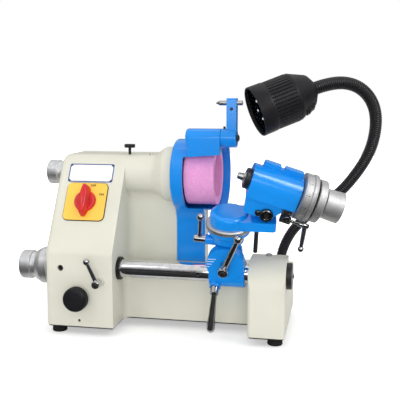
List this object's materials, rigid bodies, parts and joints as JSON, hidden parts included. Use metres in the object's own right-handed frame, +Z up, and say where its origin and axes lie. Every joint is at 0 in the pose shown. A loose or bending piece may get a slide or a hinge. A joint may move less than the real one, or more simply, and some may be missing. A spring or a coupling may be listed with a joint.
{
  "type": "tool and cutter grinder",
  "caption": "Bench tool and cutter grinder with a belt-driven cup wheel, wheel dresser, guide bar, tilting collet work head and a gooseneck lamp.",
  "frame": {"origin": "middle of the base's underside, above the rubber feet", "axes": "+X to the right as the operator faces it, +Y to the back, +Z up"},
  "size_m": [0.5844, 0.2526, 0.4212],
  "materials": {
    "cream_paint": "semi-gloss enamel",
    "blue_paint": "gloss enamel",
    "black_paint": "satin",
    "steel": "turned",
    "dark_steel": "satin",
    "black_steel": "blackened",
    "chrome": "polished",
    "aluminium": "matt turned",
    "pink_abrasive": "matt vitrified abrasive",
    "black_rubber": "matt",
    "black_plastic": "satin",
    "red_plastic": "gloss",
    "yellow_plate": "satin",
    "white_plate": "satin",
    "bulb_glass": "frosted",
    "lens_glass": "clear"
  },
  "bodies": {
    "base": {"base_casting": "cream_paint", "bottom_plate": "black_paint", "rubber_feet": "black_rubber", "rear_cover": "cream_paint", "cover_screws": "steel", "motor_frame": "black_paint", "drive_belt": "black_rubber", "oil_cup": "steel", "wheel_hood": "blue_paint", "bar_end_cap": "black_steel", "column_screws": "steel", "switch_plate": "yellow_plate", "switch_body": "black_plastic", "name_plate": "white_plate", "lamp_socket": "black_plastic"},
    "quill": {"quill_sleeve": "steel", "spindle_bearings": "steel"},
    "wheel_spindle": {"spindle_shaft": "steel", "spindle_pulley": "aluminium", "grinding_wheel": "pink_abrasive", "wheel_nut": "dark_steel"},
    "rotor": {"motor_shaft": "steel", "motor_pulley": "aluminium"},
    "quill_knob": {"quill_knob": "aluminium"},
    "quill_lock": {"quill_lock_screw": "black_steel"},
    "feed_sleeve": {"feed_sleeve": "black_steel"},
    "feed_knob": {"feed_knob": "aluminium", "feed_collar": "aluminium"},
    "bar": {"guide_bar": "chrome"},
    "infeed_knob": {"infeed_knob": "black_plastic"},
    "bar_lock": {"bar_lock_lever": "dark_steel"},
    "bracket": {"bracket": "blue_paint"},
    "bracket_lock": {"bracket_lock_lever": "dark_steel"},
    "tilt_lock": {"tilt_lock_lever": "dark_steel"},
    "neck": {"neck": "blue_paint", "scale_ring": "steel"},
    "swivel_lock": {"swivel_lock_lever": "dark_steel"},
    "arm": {"swivel_arm": "blue_paint", "stop_rod": "black_steel"},
    "head": {"work_head": "blue_paint", "head_bolts": "black_steel", "index_pin_block": "black_steel"},
    "index_lever": {"index_lever": "dark_steel"},
    "work_spindle": {"work_spindle": "black_steel", "collet": "steel", "index_ring": "steel", "clamp_ring": "aluminium"},
    "drawbar": {"drawbar_cup": "aluminium"},
    "dresser": {"dresser_arm": "blue_paint", "dresser_screws": "black_steel"},
    "dresser_rod": {"dresser_rod": "steel"},
    "switch": {"switch_handle": "red_plastic"},
    "lamp": {"gooseneck": "black_plastic", "lamp_shell": "black_plastic", "lamp_reflector": "chrome", "lamp_bulb": "bulb_glass", "lamp_lens": "lens_glass"},
    "lamp_switch": {"lamp_rocker": "black_plastic"}
  },
  "joints": [
    {"name": "quill_slide", "type": "slide", "parent": "base", "child": "quill", "axis": [1, 0, 0], "range_m": [-0.003, 0.003]},
    {"name": "wheel_spin", "type": "hinge", "parent": "quill", "child": "wheel_spindle", "pos_m": [0, 0.0077, 0.246], "axis": [1, 0, 0], "continuous": true},
    {"name": "rotor_spin", "type": "hinge", "parent": "base", "child": "rotor", "pos_m": [0, 0.053, 0.072], "axis": [1, 0, 0], "continuous": true},
    {"name": "quill_knob_turn", "type": "hinge", "parent": "base", "child": "quill_knob", "pos_m": [0, 0.0077, 0.246], "axis": [1, 0, 0], "range_deg": [-730, 730]},
    {"name": "quill_lock_turn", "type": "hinge", "parent": "base", "child": "quill_lock", "pos_m": [-0.081, 0.0077, 0.2785], "axis": [0, 0, 1], "range_deg": [0, 360]},
    {"name": "feed_slide", "type": "slide", "parent": "base", "child": "feed_sleeve", "axis": [1, 0, 0], "range_m": [-0.004, 0.004]},
    {"name": "feed_knob_turn", "type": "hinge", "parent": "base", "child": "feed_knob", "pos_m": [0, -0.065, 0.0955], "axis": [1, 0, 0], "range_deg": [-730, 730]},
    {"name": "bar_swing", "type": "hinge", "parent": "feed_sleeve", "child": "bar", "pos_m": [0, -0.065, 0.0955], "axis": [1, 0, 0], "range_deg": [-12, 20]},
    {"name": "infeed_knob_turn", "type": "hinge", "parent": "base", "child": "infeed_knob", "pos_m": [-0.138, -0.1, 0.053], "axis": [0, -1, 0], "range_deg": [-180, 180]},
    {"name": "bar_lock_turn", "type": "hinge", "parent": "base", "child": "bar_lock", "pos_m": [-0.1015, -0.1, 0.08], "axis": [0, -1, 0], "range_deg": [-60, 60]},
    {"name": "bracket_slide", "type": "slide", "parent": "bar", "child": "bracket", "axis": [1, 0, 0], "range_m": [-0.1, 0.001]},
    {"name": "bracket_lock_turn", "type": "hinge", "parent": "bracket", "child": "bracket_lock", "pos_m": [0.0845, -0.065, 0.0955], "axis": [0, -0.6934, -0.7206], "range_deg": [-50, 30]},
    {"name": "neck_tilt", "type": "hinge", "parent": "bracket", "child": "neck", "pos_m": [0.1025, -0.07526, 0.12369], "axis": [0, 0.9397, 0.342], "range_deg": [-20, 4]},
    {"name": "tilt_lock_turn", "type": "hinge", "parent": "bracket", "child": "tilt_lock", "pos_m": [0.1025, -0.07526, 0.12369], "axis": [0, -0.9397, -0.342], "range_deg": [-60, 60]},
    {"name": "swivel_lock_turn", "type": "hinge", "parent": "neck", "child": "swivel_lock", "pos_m": [0.10485, -0.0807, 0.15033], "axis": [-0.9962, -0.0298, 0.0819], "range_deg": [-60, 40]},
    {"name": "arm_swivel", "type": "hinge", "parent": "neck", "child": "arm", "pos_m": [0.1025, -0.07056, 0.1254], "axis": [0.0872, -0.3407, 0.9361], "range_deg": [-36, 5]},
    {"name": "head_tilt", "type": "hinge", "parent": "arm", "child": "head", "pos_m": [0.16542, -0.09447, 0.20805], "axis": [-0.1041, 0.9314, 0.3487], "range_deg": [-14, 8]},
    {"name": "index_turn", "type": "hinge", "parent": "head", "child": "index_lever", "pos_m": [0.16834, -0.11461, 0.2025], "axis": [0.9239, 0.2204, -0.3128], "range_deg": [-25, 25]},
    {"name": "work_spin", "type": "hinge", "parent": "head", "child": "work_spindle", "pos_m": [0.17926, -0.10536, 0.24127], "axis": [0.9239, 0.2204, -0.3128], "continuous": true},
    {"name": "drawbar_turn", "type": "hinge", "parent": "work_spindle", "child": "drawbar", "pos_m": [0.17926, -0.10536, 0.24127], "axis": [0.9239, 0.2204, -0.3128], "range_deg": [-360, 360]},
    {"name": "dresser_swing", "type": "hinge", "parent": "base", "child": "dresser", "pos_m": [0, -0.036, 0.3104], "axis": [1, 0, 0], "range_deg": [0, 180]},
    {"name": "dresser_rod_slide", "type": "slide", "parent": "dresser", "child": "dresser_rod", "axis": [1, 0, 0], "range_m": [-0.003, 0.008]},
    {"name": "switch_turn", "type": "hinge", "parent": "base", "child": "switch", "pos_m": [-0.1395, -0.0547, 0.20292], "axis": [0, -0.866, 0.5], "range_deg": [-90, 0]},
    {"name": "lamp_swing", "type": "hinge", "parent": "base", "child": "lamp", "pos_m": [0.1815, -0.004, 0.082], "axis": [0, 0, 1], "range_deg": [-15, 40]},
    {"name": "lamp_switch_rock", "type": "hinge", "parent": "lamp", "child": "lamp_switch", "pos_m": [0.22962, -0.09473, 0.35687], "axis": [0.1332, -0.8405, 0.5251], "range_deg": [-8, 8]}
  ],
  "couplings": [
    {"joint": "quill_knob_turn", "follows": "quill_slide", "rad_per_m": 4188.8},
    {"joint": "feed_knob_turn", "follows": "feed_slide", "rad_per_m": 3141.6},
    {"joint": "rotor_spin", "follows": "wheel_spin", "ratio": 0.53846}
  ]
}
